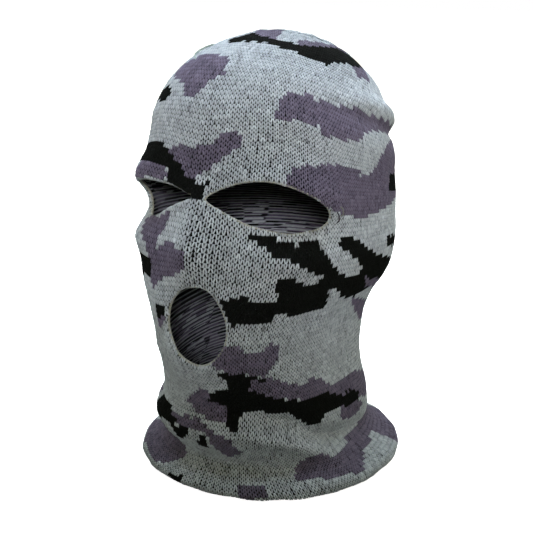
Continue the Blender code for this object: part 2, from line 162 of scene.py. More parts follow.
def relief(azimuth, ring, folds):
    """How far the fabric stands out from its plain rings."""
    angle = np.degrees((azimuth + pi) % (2 * pi) - pi)
    out = 0 * angle
    for height, side, wide, middle, high in FACE_BUMPS:
        out = out + height * bell(np.abs(angle) - side, wide) * bell(ring - middle, high)
    # a ridge over a groove, climbing round the left and back of the crown
    turn = angle % 360
    climb = 0.25 * (np.clip(turn, 50, 150) - 63)
    out = out + (4.6 * bell(turn - 112, spread=40) * bell(ring - 237 - climb, spread=5.0)
                 * ease(50, 80, turn))
    out = out - 3.0 * bell(turn - 104, spread=38) * bell(ring - 228.5 - climb, spread=4.2)
    return out + folds(angle, ring)


def running_sum(steps):
    return np.concatenate([[0], np.cumsum(steps)])


# the leaning axis of the crown, followed in small steps
CROWN_STEPS = np.linspace(CROWN, TOP, 161)
step_lean = np.radians(monotone(LEAN[:, 0], LEAN[:, 1], CROWN_STEPS))
step = CROWN_STEPS[1] - CROWN_STEPS[0]
CROWN_BACK = running_sum((np.sin(step_lean[1:]) + np.sin(step_lean[:-1])) / 2 * step)
CROWN_UP = running_sum((np.cos(step_lean[1:]) + np.cos(step_lean[:-1])) / 2 * step)


def surface(azimuth, ring, folds=worn_folds):
    """Points of the fabric's middle surface."""
    azimuth = np.asarray(azimuth, float) + 0 * np.asarray(ring, float)
    ring = np.asarray(ring, float) + 0 * azimuth
    half_width, front, back, left = (
        monotone(RINGS[:, 0], RINGS[:, k], np.minimum(ring, CROWN)) for k in (1, 2, 3, 4))
    closing = np.clip((ring - CROWN) / (TOP - CROWN), 0, 1)
    size = (1 - closing ** CROWN_POWER) ** (1 / CROWN_POWER)
    wider, fronter, backer = (
        monotone(CROWN_TRIM[:, 0], CROWN_TRIM[:, k], np.clip(ring, CROWN, TOP)) for k in (1, 2, 3))
    out = relief(azimuth, ring, folds)
    lean = np.radians(monotone(LEAN[:, 0], LEAN[:, 1], ring))
    sine, cosine = np.sin(azimuth), np.cos(azimuth)
    across = np.sign(sine) * np.abs(sine) ** SQUARENESS
    along = np.abs(cosine) ** SQUARENESS
    up = out * np.sqrt(np.clip(1 - size ** 2, 0, 1)) * 0.8
    x = (half_width * size + wider) * across + out * sine * size ** 0.5 + left
    depth = (CROWN_SHIFT * (1 - size) - out * cosine * size ** 0.5
             + np.where(cosine > 0, -(front * size + fronter) * along,
                        (back * size + backer) * along))
    axis_y = np.where(ring > CROWN, np.interp(ring, CROWN_STEPS, CROWN_BACK), 0.0)
    axis_z = np.where(ring > CROWN, CROWN + np.interp(ring, CROWN_STEPS, CROWN_UP), ring)
    return np.stack([x, axis_y + depth * np.cos(lean) + up * np.sin(lean),
                     axis_z - depth * np.sin(lean) + up * np.cos(lean)], -1)


def normal(azimuth, ring, folds=worn_folds):
    side = 0.02
    above = np.minimum(ring + 0.4, TOP - 0.05)
    below = np.maximum(np.minimum(ring, TOP - 0.5) - 0.4, RIM)
    along = surface(azimuth + side, ring, folds) - surface(azimuth - side, ring, folds)
    upward = surface(azimuth, above, folds) - surface(azimuth, below, folds)
    return unit(np.cross(along, upward), least=1e-9)


def find_origin():
    """Origin of the frame in ring axes, from where the CAD knit stands in the frame."""
    grid = np.meshgrid(np.linspace(-pi, pi, 181), np.linspace(5.3, 290, 150))
    outside = surface(*grid, plain_folds) + normal(*grid, plain_folds) * KNIT_THICKNESS / 2
    outside = outside.reshape(-1, 3)
    low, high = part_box("knit_body")
    origin = (outside.min(0) + outside.max(0)) / 2 - (np.array(low) + np.array(high)) / 2 / MM
    origin[2] = 0.0
    return origin


ORIGIN = find_origin()


def cad_box(node):
    """Low and high corner of a CAD piece in ring axes (mm)."""
    return [np.array(corner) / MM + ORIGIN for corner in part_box(node)]


# ============================================================ wales (columns) and courses (rows)
HEM_ROLL = 1.2           # radius the hem's edge is rolled to, mm
ROLL_END = -1.4          # ring where the roll ends under the rim
WALES = 248              # stitches round the mask
WALE_ANGLES = np.linspace(-180, 180, 3601)
# wales per degree: the face stretches the fabric open
WALE_DENSITY = np.interp(np.abs(WALE_ANGLES), [0, 12, 28, 44, 75, 180],
                         [0.51, 0.50, 0.465, 0.52, 0.775, 0.775])
WALE_COUNT = running_sum((WALE_DENSITY[1:] + WALE_DENSITY[:-1]) / 2 * 0.1)
WALE_DENSITY = WALE_DENSITY * WALES / WALE_COUNT[-1]
WALE_COUNT *= WALES / WALE_COUNT[-1]


def even_share(ring):
    """How far the wales have spread out evenly, growing over the crown."""
    return 0.65 * ease(195, 245, ring)


def wale_angle(wale, ring=100.0):
    turns = np.floor(wale / WALES)
    face = np.interp(wale - turns * WALES, WALE_COUNT, WALE_ANGLES)
    even = -180 + 360 * (wale - turns * WALES) / WALES
    share = even_share(ring)
    return face * (1 - share) + even * share + 360 * turns


def fabric(angle, ring):
    """Surface point and normal, with the hem's edge rolled under below the rim."""
    azimuth = angle * DEGREE
    upper = np.maximum(ring, RIM)
    point, out = surface(azimuth, upper), normal(azimuth, np.maximum(upper, 3.4))
    under = np.maximum(RIM - ring, 0)
    away = radial(azimuth)
    elevation = np.arctan2(out[..., 2], (out * away).sum(-1)) - under / HEM_ROLL
    rolled_out = (away * np.cos(elevation)[..., None]
                  + np.array([0, 0, 1.0]) * np.sin(elevation)[..., None])
    rolled = point - out * HEM_ROLL + rolled_out * HEM_ROLL
    is_under = (under > 0)[..., None]
    return np.where(is_under, rolled, point), np.where(is_under, rolled_out, out)


# course against ring, from the length of fabric up the face and the course height in mm
FINE_RINGS = np.concatenate([
    np.linspace(ROLL_END, RIM, 23), np.linspace(RIM, CROWN, 849)[1:],
    CROWN + (TOP - 0.05 - CROWN) * np.sin(np.linspace(0, pi / 2, 500))[1:]])
climbed = np.zeros(len(FINE_RINGS) - 1)
for face_angle in (-20.0, 20.0, 60.0):
    upward_line = fabric(np.full(len(FINE_RINGS), face_angle), FINE_RINGS)[0]
    climbed += np.linalg.norm(np.diff(upward_line, axis=0), axis=1) / 3
course_height = np.interp(FINE_RINGS[1:], [0, 50, 90, 132, 150, 168, 185, 206, 226, 292],
                          [2.72, 2.85, 2.88, 3.05, 3.3, 3.15, 2.85, 2.75, 3.2, 3.2])
FINE_COURSES = running_sum(climbed / course_height)
TOP_COURSE = FINE_COURSES[-1]


def ring_of(course):
    return np.interp(course, FINE_COURSES, FINE_RINGS)


def rounded(outline, steps):
    """Closed Catmull-Rom curve through an outline."""
    corners = np.array(outline, float)
    count = len(corners)
    part = np.linspace(0, 1, steps, endpoint=False)[:, None]
    spans = []
    for i in range(count):
        before, start = corners[i - 1], corners[i]
        end, after = corners[(i + 1) % count], corners[(i + 2) % count]
        spans.append(0.5 * (2 * start + (end - before) * part
                            + (2 * before - 5 * start + 4 * end - after) * part ** 2
                            + (3 * start - before - 3 * end + after) * part ** 3))
    return np.concatenate(spans)


def slit(outline, softness):
    """By angle: middle line of an opening, reach up and down, and both reaches smoothed."""
    curve = rounded(outline, steps=12)
    start, end = curve[curve[:, 0].argmin()], curve[curve[:, 0].argmax()]
    angles = np.arange(-180, 180.01, 0.5)
    middle = np.interp(angles, [start[0], end[0]], [start[1], end[1]])
    up, down = 0 * angles, 0 * angles
    for i, angle in enumerate(angles):
        if start[0] < angle < end[0]:
            crossings = [y0 + (y1 - y0) * (angle - x0) / (x1 - x0)
                         for (x0, y0), (x1, y1) in zip(curve, np.roll(curve, -1, 0))
                         if (x0 > angle) != (x1 > angle)]
            up[i] = max(max(crossings) - middle[i], 0)
            down[i] = max(middle[i] - min(crossings), 0)
    blur = np.exp(-np.arange(-60, 61) ** 2 / (2 * (softness / 0.5) ** 2))
    blur /= blur.sum()
    return (angles, middle, up, down, np.convolve(up, blur, "same"),
            np.convolve(down, blur, "same"))


# the eye slits are knitted along a course and pulled open, so the courses part round them
EYE_SLITS = [slit(LEFT_EYE, softness=8.0), slit(RIGHT_EYE, softness=8.0)]
MOUTH_SLIT = slit(MOUTH, softness=7.0)
HALF_SLIT = 1.6
MOUTH_REACH = 30.0


def parted_ring(angle, course):
    """Ring of a course at an angle, with the courses parted round the openings."""
    plain = ring_of(course)
    angle = (angle + 180) % 360 - 180
    ring = plain + 0 * angle
    for angles, middle, up, down, up_far, down_far in EYE_SLITS:
        line = np.interp(angle, angles, middle)
        for sign, near, far, reach, share in ((1, up, up_far, 42.0, 0.8),
                                              (-1, down, down_far, 52.0, 0.28)):
            distance = (plain - line) * sign - HALF_SLIT
            beyond = np.maximum(distance, 0)
            sharp = np.exp(-(beyond / 9) ** 2)
            amount = (np.interp(angle, angles, near) * sharp
                      + np.interp(angle, angles, far) * (1 - sharp))
            amount = share * np.maximum(amount - HALF_SLIT, 0)
            fading = np.where(distance > 0, np.exp(-(beyond / reach) ** 2),
                              np.clip(1 + distance / HALF_SLIT, 0, 1))
            ring = ring + sign * amount * fading
    angles, middle, _, _, up_far, down_far = MOUTH_SLIT
    line = np.interp(angle, angles, middle)
    for sign, far in ((1, up_far), (-1, down_far)):
        part = np.maximum((plain - line) * sign, 0) / MOUTH_REACH
        amount = 0.2 * np.interp(angle, angles, far)
        ring = ring + sign * amount * part * np.exp(-part * part) * 2.33
    return ring


# table of points, normals, wale width, course height and ring on a fine grid
ANGLE_STEP, COURSE_STEP = 0.5, 0.25
TABLE_ANGLES = np.arange(-180, 180.01, ANGLE_STEP)
TABLE_COURSES = np.arange(0, TOP_COURSE, COURSE_STEP)


def fabric_table():
    """The table, and the girth of the fabric at each of its courses."""
    angle, course = np.meshgrid(TABLE_ANGLES, TABLE_COURSES)
    ring = parted_ring(angle, course)
    point, out = fabric(angle, ring)
    girth = np.linalg.norm(np.diff(point, axis=1), axis=2).sum(1)
    degree_width = np.linalg.norm(np.gradient(point, axis=1), axis=2) / ANGLE_STEP
    share = even_share(ring)
    density = np.interp(TABLE_ANGLES, WALE_ANGLES, WALE_DENSITY)[None, :]
    width = degree_width * ((1 - share) / density + share * 360 / WALES)
    height = np.linalg.norm(np.gradient(point, axis=0), axis=2) / COURSE_STEP
    return np.concatenate([point, out, np.stack([width, height, ring], -1)], -1), girth


TABLE, GIRTHS = fabric_table()


def lookup(angle, course):
    """Point, normal, wale width, course height and ring, interpolated from the table."""
    across = ((angle + 180) % 360) / ANGLE_STEP
    i = np.clip(across.astype(int), 0, len(TABLE_ANGLES) - 2)
    across = (across - i)[..., None]
    upward = np.clip(course / COURSE_STEP, 0, len(TABLE_COURSES) - 1.001)
    j = upward.astype(int)
    upward = (upward - j)[..., None]
    found = ((TABLE[j, i] * (1 - across) + TABLE[j, i + 1] * across) * (1 - upward)
             + (TABLE[j + 1, i] * (1 - across) + TABLE[j + 1, i + 1] * across) * upward)
    return found[..., :3], unit(found[..., 3:6]), found[..., 6], found[..., 7], found[..., 8]


# ============================================================ camouflage
PURPLE, BLACK = 1, 2     # yarn numbers; 0 is the blue-grey ground
YARNS = np.array([[0.385, 0.430, 0.446], [0.124, 0.110, 0.152], [0.0042, 0.0052, 0.0040]])
FLOAT_AND_GAP_SHADE_RGB = np.array([0.006, 0.0065, 0.006])        # dark floats behind the stitches, made darker than their yarns as painted shade in the gaps
EDGE_RGB = np.array([0.30, 0.31, 0.255])
EDGE_SHADES = np.array([1.0, 0.85, 0.55])           # the openings' edges beside each yarn
CLOSING_RGB = (0.34, 0.40, 0.37)
# yarn and (angle, ring) outline; later motifs cover earlier ones
MOTIFS = [
    # front and left side
    (PURPLE, [(-18, 279), (8, 279), (11, 265), (-7, 270)]),
    (PURPLE, [(24, 269), (50, 276), (72, 281), (69, 274), (28, 262)]),
    (BLACK, [(-21, 265), (-12, 258), (-4, 260), (5, 260), (21, 257), (37, 255), (49, 253),
             (53, 259), (67, 264), (82, 267), (84, 272), (66, 278), (28, 264), (10, 265),
             (-11, 273)]),
    (PURPLE, [(65, 263), (82, 269), (84, 259), (71, 257)]),
    (PURPLE, [(-26, 246), (-21, 247), (-12, 248), (-3, 244), (0, 240), (1, 233), (-5, 228),
              (-7, 222), (-17, 220), (-17, 225), (-24, 229), (-36, 233), (-40, 240)]),
    (BLACK, [(-46, 229), (-31, 227), (-27, 221), (-36, 220), (-48, 222)]),
    (PURPLE, [(30, 226), (35, 229), (42, 230), (52, 229), (66, 232), (79, 235), (93, 239),
              (109, 245), (126, 246), (130, 239), (107, 236), (84, 227), (76, 221), (72, 216),
              (62, 214), (51, 214), (50, 217), (41, 217), (29, 216)]),
    (PURPLE, [(8, 207), (13, 208.5), (16, 207), (15, 203), (8, 196), (2, 192), (-2, 189),
              (-6, 187), (-10, 192), (-20, 197), (-16, 200), (2, 201), (5, 205)]),
    (PURPLE, [(-40, 192), (-21, 191), (-16, 188), (-25, 185), (-46, 185)]),
    (BLACK, [(-56, 200), (-40, 202), (-32, 201), (-26, 202), (-20, 197), (-10, 192), (-7, 188),
             (-1, 186.5), (3, 187), (2, 180), (-4, 180), (-19, 185), (-16, 189), (-20, 192),
             (-39, 192), (-54, 194)]),
    (PURPLE, [(38, 196), (42, 198), (50, 199), (56, 201), (74, 201), (74, 198), (80, 199),
              (88, 208), (95, 223), (109, 236), (126, 230), (140, 219), (150, 208), (138, 196),
              (118, 188), (97, 181), (86, 177), (75, 175), (65, 177), (60, 179), (54, 182),
              (49, 185), (41, 188.5), (36, 189)]),
    (BLACK, [(99, 204), (118, 209), (121, 193), (98, 191)]),
    (PURPLE, [(-48, 163), (-36, 165), (-16, 171), (-17, 166), (-21, 158), (-21, 153), (-15, 157),
              (-8, 160), (-5, 158), (-1, 156), (0, 150), (-5, 143), (-18, 137), (-22, 131),
              (-27, 135), (-30, 153), (-38, 157)]),
    (BLACK, [(-44, 145), (-27, 146), (-27, 136), (-46, 132)]),
    (BLACK, [(-22, 123), (-13, 124), (-13, 118), (-22, 115)]),
    (PURPLE, [(-22, 114), (-14, 118), (-16, 111), (-22, 109)]),
    (BLACK, [(21, 165), (30, 165.5), (39, 163), (44, 161), (48, 164.5), (54, 164.5), (54, 159),
             (62, 148), (67, 143), (75, 141), (78, 145), (67, 157), (63, 160), (65, 166),
             (72, 163.5), (77, 159), (86, 151), (100, 144), (109, 141), (120, 138), (122, 130),
             (103, 128), (89, 127), (80, 124), (71, 128), (65, 136), (61, 135), (65, 123),
             (57, 122), (41, 125), (41, 120), (25, 120), (23, 118), (18, 124), (14, 131),
             (18, 135), (24, 135.5), (28, 133), (39, 132), (39, 135), (36, 142), (37, 145),
             (43, 145.5), (49, 140), (55, 141), (56, 146), (44, 152), (38, 155), (31, 158),
             (26, 162)]),
    (BLACK, [(96, 160), (109, 157), (118, 154), (114, 148), (96, 153)]),
    (PURPLE, [(81, 138), (92, 132), (106, 124), (104, 119), (85, 129)]),
    (PURPLE, [(80, 124), (90, 118), (104, 110), (113, 96), (102, 96), (90, 107)]),
    (PURPLE, [(21, 107), (26, 106), (32, 101), (40, 100), (42, 106), (48, 103), (48, 94),
              (44, 86), (40, 83), (22, 87), (13, 93)]),
    (PURPLE, [(33, 80), (42, 82), (56, 71), (60, 69), (64, 73), (71, 70), (73, 63), (80, 62),
              (90, 63), (106, 58), (120, 51), (128, 40), (111, 36), (93, 43), (82, 52), (61, 59),
              (40, 67), (31, 74)]),
    (PURPLE, [(-8, 61), (4, 75), (9, 72), (6, 64), (16, 61), (16, 51), (8, 50), (0, 53)]),
    (PURPLE, [(78, 46), (93, 41), (100, 36), (91, 32), (80, 35)]),
    (BLACK, [(16, 86), (24, 87), (40, 82), (40, 79), (33, 80), (31, 74), (40, 67), (50, 62),
             (61, 59), (71, 59), (82, 52), (87, 53), (94, 47), (93, 41), (80, 45), (70, 46),
             (65, 40), (58, 42), (49, 54), (43, 54), (25, 58), (21, 47), (17, 47), (16, 61),
             (6, 64), (9, 72), (19, 74), (21, 81)]),
    (BLACK, [(-42, 41), (-36, 50), (-22, 51), (-12, 46), (-15, 41), (-38, 38)]),
    (PURPLE, [(-20, 48), (0, 50), (18, 41), (24, 29), (15, 23), (10, 33), (5, 43), (-8, 43)]),
    (BLACK, [(-19, 39), (-6, 44), (-2, 41), (-12, 31)]),
    (BLACK, [(2, 40), (6, 40), (5, 31), (0, 30)]),
    (PURPLE, [(-74, 4), (-52, 24), (-30, 36), (-18, 27), (-14, 14), (-24, 8), (-44, 6)]),
    (PURPLE, [(46, 10), (50, 18), (60, 23), (68, 17), (81, 18), (100, 21), (112, 22), (130, 20),
              (142, 14), (146, 5), (128, 2), (110, 2), (107, 9), (104, 13), (96, 12), (88, 12),
              (80, 9), (77, 7), (60, 9)]),
    (PURPLE, [(17, 9), (31, 9), (30, 4), (17, 3)]),
    (BLACK, [(-17, 5), (-9, 8), (-6, 4), (-14, 3)]),
    # back and right side
    (PURPLE, [(128, 268), (150, 276), (176, 272), (190, 262), (172, 254), (150, 257),
              (134, 255)]),
    (BLACK, [(168, 246), (186, 250), (204, 247), (222, 252), (240, 246), (232, 238), (214, 241),
             (196, 236), (178, 239)]),
    (PURPLE, [(214, 271), (240, 279), (272, 276), (286, 266), (262, 262), (240, 267),
              (222, 262)]),
    (BLACK, [(284, 262), (300, 268), (322, 262), (318, 256), (300, 256)]),
    (PURPLE, [(250, 234), (268, 240), (290, 236), (300, 226), (288, 216), (270, 220), (256, 214),
              (244, 222)]),
    (PURPLE, [(170, 224), (190, 229), (214, 224), (232, 216), (222, 205), (200, 210), (184, 203),
              (166, 210)]),
    (BLACK, [(142, 186), (160, 192), (176, 186), (196, 190), (214, 182), (206, 174), (188, 178),
             (172, 170), (160, 160), (148, 164), (154, 176)]),
    (PURPLE, [(226, 190), (246, 200), (268, 196), (288, 202), (300, 190), (296, 176), (276, 172),
              (258, 180), (240, 172), (228, 178)]),
    (BLACK, [(236, 158), (254, 163), (274, 158), (290, 152), (284, 143), (266, 148), (252, 141),
             (240, 146)]),
    (PURPLE, [(132, 160), (146, 154), (160, 142), (178, 138), (196, 144), (210, 136), (200, 122),
              (180, 126), (162, 120), (146, 128), (136, 142)]),
    (PURPLE, [(212, 160), (228, 158), (226, 142), (214, 140)]),
    (BLACK, [(200, 116), (218, 122), (238, 118), (258, 124), (276, 116), (268, 106), (250, 109),
             (236, 100), (220, 106), (206, 102)]),
    (PURPLE, [(276, 136), (296, 140), (318, 132), (322, 118), (304, 112), (288, 118)]),
    (BLACK, [(134, 104), (152, 110), (170, 104), (184, 96), (176, 86), (158, 90), (144, 84),
             (132, 92)]),
    (PURPLE, [(188, 92), (206, 96), (228, 90), (244, 82), (236, 70), (216, 74), (200, 66),
              (184, 74)]),
    (BLACK, [(258, 90), (276, 94), (296, 88), (312, 90), (322, 80), (302, 74), (284, 78),
             (264, 74)]),
    (PURPLE, [(140, 68), (156, 72), (176, 66), (188, 56), (172, 46), (154, 50), (138, 44)]),
    (BLACK, [(196, 52), (214, 58), (234, 54), (252, 46), (240, 36), (222, 42), (204, 36)]),
    (PURPLE, [(262, 62), (284, 66), (304, 60), (318, 50), (306, 40), (286, 46), (268, 40)]),
    (PURPLE, [(150, 30), (172, 32), (196, 26), (206, 14), (186, 6), (164, 12)]),
    (BLACK, [(226, 26), (246, 28), (262, 20), (254, 8), (234, 10)]),
    (PURPLE, [(268, 24), (284, 26), (290, 10), (272, 6)]),
]


def inside(outline, x, y):
    """Even-odd test of points against an outline."""
    hit = np.zeros(x.shape, bool)
    corners = np.array(outline, float)
    for (x0, y0), (x1, y1) in zip(corners, np.roll(corners, -1, 0)):
        if y0 != y1:
            hit ^= ((y0 > y) != (y1 > y)) & (x < (x1 - x0) * (y - y0) / (y1 - y0) + x0)
    return hit


def camouflage(angle, ring):
    """Yarn number at each place."""
    yarn = np.zeros(angle.shape, int)
    for number, outline in MOTIFS:
        xs = [corner[0] for corner in outline]
        for turn in (0, 360, -360):
            if max(xs) + turn >= angle.min() and min(xs) + turn <= angle.max():
                yarn[inside(outline, angle - turn, ring)] = number
    return yarn


# ============================================================ edges of the openings
def smooth_loop(outline, count):
    """An opening's edge as evenly spaced (angle, ring) points, and its length."""
    curve = rounded(outline, steps=24)
    points = surface(curve[:, 0] * DEGREE, curve[:, 1])
    travelled = running_sum(np.linalg.norm(np.roll(points, -1, 0) - points, axis=1))
    stops = np.linspace(0, travelled[-1], count, endpoint=False)
    closed = np.vstack([curve, curve[:1]])
    return np.stack([np.interp(stops, travelled, closed[:, k]) for k in (0, 1)], 1), travelled[-1]


OPENINGS = []            # (angle, ring) loop and its points in mm
for opening in (LEFT_EYE, RIGHT_EYE, MOUTH):
    opening_loop = smooth_loop(opening, 160)[0]
    OPENINGS.append((opening_loop, surface(opening_loop[:, 0] * DEGREE, opening_loop[:, 1])))


def opening_distance(angle, ring, points):
    """Distance in mm to the nearest opening's edge, positive on the fabric (99 far away), and
    the nearest point of that edge."""
    distance = np.full(angle.shape, 99.0)
    nearest = points.copy()
    wrapped = (angle + 180) % 360 - 180
    for loop, edge in OPENINGS:
        near = ((wrapped > loop[:, 0].min() - 6) & (wrapped < loop[:, 0].max() + 6)
                & (ring > loop[:, 1].min() - 9) & (ring < loop[:, 1].max() + 9))
        if not near.any():
            continue
        here = points[near]
        best = np.full(len(here), 1e9)
        foot = here.copy()
        for start, end in zip(edge, np.roll(edge, -1, 0)):
            span = end - start
            part = np.clip(((here - start) @ span) / (span @ span), 0, 1)
            on_span = start + part[:, None] * span
            squared = ((here - on_span) ** 2).sum(1)
            closer = squared < best
            best = np.where(closer, squared, best)
            foot[closer] = on_span[closer]
        best = np.sqrt(best)
        sign = np.where(inside(loop, wrapped[near], ring[near]), -1.0, 1.0)
        so_far = distance[near]
        use = best < np.abs(so_far)
        distance[near] = np.where(use, sign * best, so_far)
        nearest[near] = np.where(use[:, None], foot, nearest[near])
    return distance, nearest


# ============================================================ meshes
def link_object(name, data):
    item = bpy.data.objects.new(name, data)
    bpy.context.scene.collection.objects.link(item)
    return item


def grid_quads(rows, columns, close_rows=False, close_columns=False):
    """Quads of a grid of points, by row and column, optionally joined end to end."""
    index = np.arange(rows * columns).reshape(rows, columns)
    if close_rows:
        index = np.vstack([index, index[:1]])
    if close_columns:
        index = np.hstack([index, index[:, :1]])
    return np.stack([index[:-1, :-1], index[:-1, 1:], index[1:, 1:], index[1:, :-1]], -1)


def used_only(points, quads, colours):
    """Drop the points that no quad uses."""
    used = np.zeros(points.size // 3, bool)
    used[quads.ravel()] = True
    renumbered = np.cumsum(used) - 1
    return points.reshape(-1, 3)[used], renumbered[quads], colours.reshape(-1, 3)[used]


def mesh_object(name, points, quads, colours=None):
    """Smooth mesh from points in ring axes (mm); colours are linear RGB per point."""
    mesh = bpy.data.meshes.new(name)
    places = ((np.reshape(points, (-1, 3)) - ORIGIN) * MM).astype(np.float32)
    quads = np.reshape(quads, (-1, 4)).astype(np.int32)
    mesh.vertices.add(len(places))
    mesh.vertices.foreach_set("co", places.ravel())
    mesh.loops.add(quads.size)
    mesh.loops.foreach_set("vertex_index", quads.ravel())
    mesh.polygons.add(len(quads))
    mesh.polygons.foreach_set("loop_start", np.arange(0, quads.size, 4, dtype=np.int32))
    mesh.polygons.foreach_set("loop_total", np.full(len(quads), 4, np.int32))
    mesh.polygons.foreach_set("use_smooth", np.full(len(quads), True))
    mesh.update(calc_edges=True)
    mesh.validate()
    if colours is not None:
        attribute = mesh.color_attributes.new("yarn", "FLOAT_COLOR", "POINT")
        rgba = np.concatenate([np.reshape(colours, (-1, 3)), np.ones((len(places), 1))], 1)
        attribute.data.foreach_set("color", rgba.astype(np.float32).ravel())
    return link_object(name, mesh)


def face_outwards(item, fill_ends=False):
    shape = bmesh.new()
    shape.from_mesh(item.data)
    if fill_ends:
        bmesh.ops.holes_fill(shape, edges=[e for e in shape.edges if e.is_boundary], sides=0)
    bmesh.ops.recalc_face_normals(shape, faces=shape.faces)
    shape.to_mesh(item.data)
    shape.free()


def dress(item, material, body="mask", replaces=None):
    item.data.materials.append(material)
    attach(item, body)
    if replaces:
        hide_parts(replaces)


# ============================================================ materials
def add_node(tree, kind, inputs=None, **settings):
    """New node; each input is given a value, or is linked when given a socket."""
    node = tree.nodes.new(kind)
    for name, value in settings.items():
        setattr(node, name, value)
    set_inputs(tree, node, inputs or {})
    return node


def set_inputs(tree, node, inputs):
    for name, value in inputs.items():
        if isinstance(value, bpy.types.NodeSocket):
            tree.links.new(value, node.inputs[name])
        else:
            node.inputs[name].default_value = value


def map_range(tree, value, source, target):
    """Map a value from the source (low, high) to the target (low, high)."""
    return add_node(tree, "ShaderNodeMapRange", {
        "From Min": source[0], "From Max": source[1],
        "To Min": target[0], "To Max": target[1], "Value": value}).outputs[0]


def new_material(name):
    material = bpy.data.materials.new(name)
    material.use_nodes = True
    return material, material.node_tree, material.node_tree.nodes["Principled BSDF"]


def yarn_material(name, dye=None, bump=0.35, fibre_scale=2600.0, sheen=0.05):
    """Spun yarn, mottled and fibrous; without a dye the mesh's stitch colours are used."""
    material, tree, shader = new_material(name)
    place = add_node(tree, "ShaderNodeTexCoord").outputs["Object"]
    if dye:
        colour = add_node(tree, "ShaderNodeRGB").outputs[0]
        colour.default_value = (*dye, 1)
    else:
        colour = add_node(tree, "ShaderNodeAttribute", attribute_name="yarn").outputs["Color"]
    fibre = add_node(tree, "ShaderNodeTexNoise", {
        "Scale": fibre_scale, "Detail": 3.0, "Roughness": 0.65, "Vector": place}).outputs["Fac"]
    cloud = add_node(tree, "ShaderNodeTexNoise", {
        "Scale": 55.0, "Detail": 2.0, "Vector": place}).outputs["Fac"]
    fibre_tone = map_range(tree, fibre, source=(0.3, 0.7), target=(0.80, 1.22))
    cloud_tone = map_range(tree, cloud, source=(0.3, 0.7), target=(0.93, 1.07))
    tone = add_node(tree, "ShaderNodeMath", {0: fibre_tone, 1: cloud_tone}, operation="MULTIPLY")
    mottled = add_node(tree, "ShaderNodeVectorMath", {0: colour, "Scale": tone.outputs[0]},
                       operation="SCALE")
    roughness = map_range(tree, fibre, source=(0.0, 1.0), target=(0.82, 1.0))
    fuzz = add_node(tree, "ShaderNodeBump", {
        "Strength": bump, "Distance": 0.00025, "Height": fibre})
    grey = add_node(tree, "ShaderNodeRGBToBW", {0: colour}).outputs[0]
    # dark-dyed yarn shines less
    specular, soft_sheen = (
        map_range(tree, grey, source=(0.0, 0.12), target=(0.02 * most / 0.12, most))
        for most in (0.12, sheen))
    set_inputs(tree, shader, {
        "Base Color": mottled.outputs[0], "Roughness": roughness, "Normal": fuzz.outputs[0],
        "Specular IOR Level": specular, "Sheen Weight": soft_sheen,
        "Sheen Roughness": 0.55, "Sheen Tint": (0.85, 0.9, 1.0, 1)})
    return material


KNIT_MATERIAL = yarn_material("camouflage_knit_yarn")
EDGE_MATERIAL = yarn_material("turned_edge_yarn", fibre_scale=2200.0)
PURL_MATERIAL = yarn_material("purl_side_yarn", bump=0.3, sheen=0.2)
yarn_material("closing_yarn_plied", dye=CLOSING_RGB)     # a spare dye that no piece wears
THREAD_MATERIAL = yarn_material("label_sewing_thread", dye=(0.012, 0.012, 0.014),
                                fibre_scale=4000.0, sheen=0.1)


# ============================================================ knitting
ROWS_PER_COURSE = 6
CURL = 1.5               # radius of the inward roll round an opening, mm
CURL_OUT = 0.35          # how far that roll is drawn back from the edge, mm
LEG_OFFSET, LEG_LEAN = 0.258, 0.285      # a leg's place beside its wale's middle, in wales
# random unevenness by course and wale
SCATTER_LEG = rng.normal(0, 1, (211, 331))
SCATTER_LIFT = rng.normal(0, 1, (199, 331))
SCATTER_TONE = rng.normal(0, 1, (223, 331))


def scatter(table, row, column):
    return table[row % table.shape[0], column % table.shape[1]]


def leg_radius(width):
    return np.minimum(0.43, (0.19 + 0.022 * ease(1.5, 2.1, width)) * width)


def stitch_height(x, course, wale, width, height, radius):
    """Height of the knit over its middle at wale position x (-0.5..0.5), and the course on top.
    Each stitch is an arch, its two legs parting downwards; the feet pass behind the arch below."""
    dip = 1.75 + 0.85 * ease(2.1, 1.5, width)        # in tight fabric the loops bed deeper
    best = np.full(x.shape, -9.0)
    nearest = np.round(course).astype(int)
    winner = nearest
    for k in (-1, 0, 1):
        stitch = nearest + k
        y = course - stitch
        lift = scatter(SCATTER_LIFT, stitch, wale)
        line = LEG_OFFSET - LEG_LEAN * y + 0.03 * scatter(SCATTER_LEG, stitch, wale)
        slope = LEG_LEAN * width / height
        distance = np.abs(np.abs(x) - line) * width / np.sqrt(1 + slope * slope)
        thick = radius * (1 + 0.06 * lift)
        centre = 0.36 - dip * (np.clip((y - 0.28) / 0.42, 0, None) ** 2
                               + np.clip((-y - 0.26) / 0.46, 0, None) ** 2)
        centre = centre + 0.07 * lift
        round_top = centre + np.sqrt(np.clip(thick * thick - distance * distance, 0, None))
        level = np.where(distance < thick, round_top, centre - (distance - thick) * 4.5)
        wins = level > best
        best = np.where(wins, level, best)
        winner = np.where(wins, stitch, winner)
    return np.maximum(best, -1.0), winner


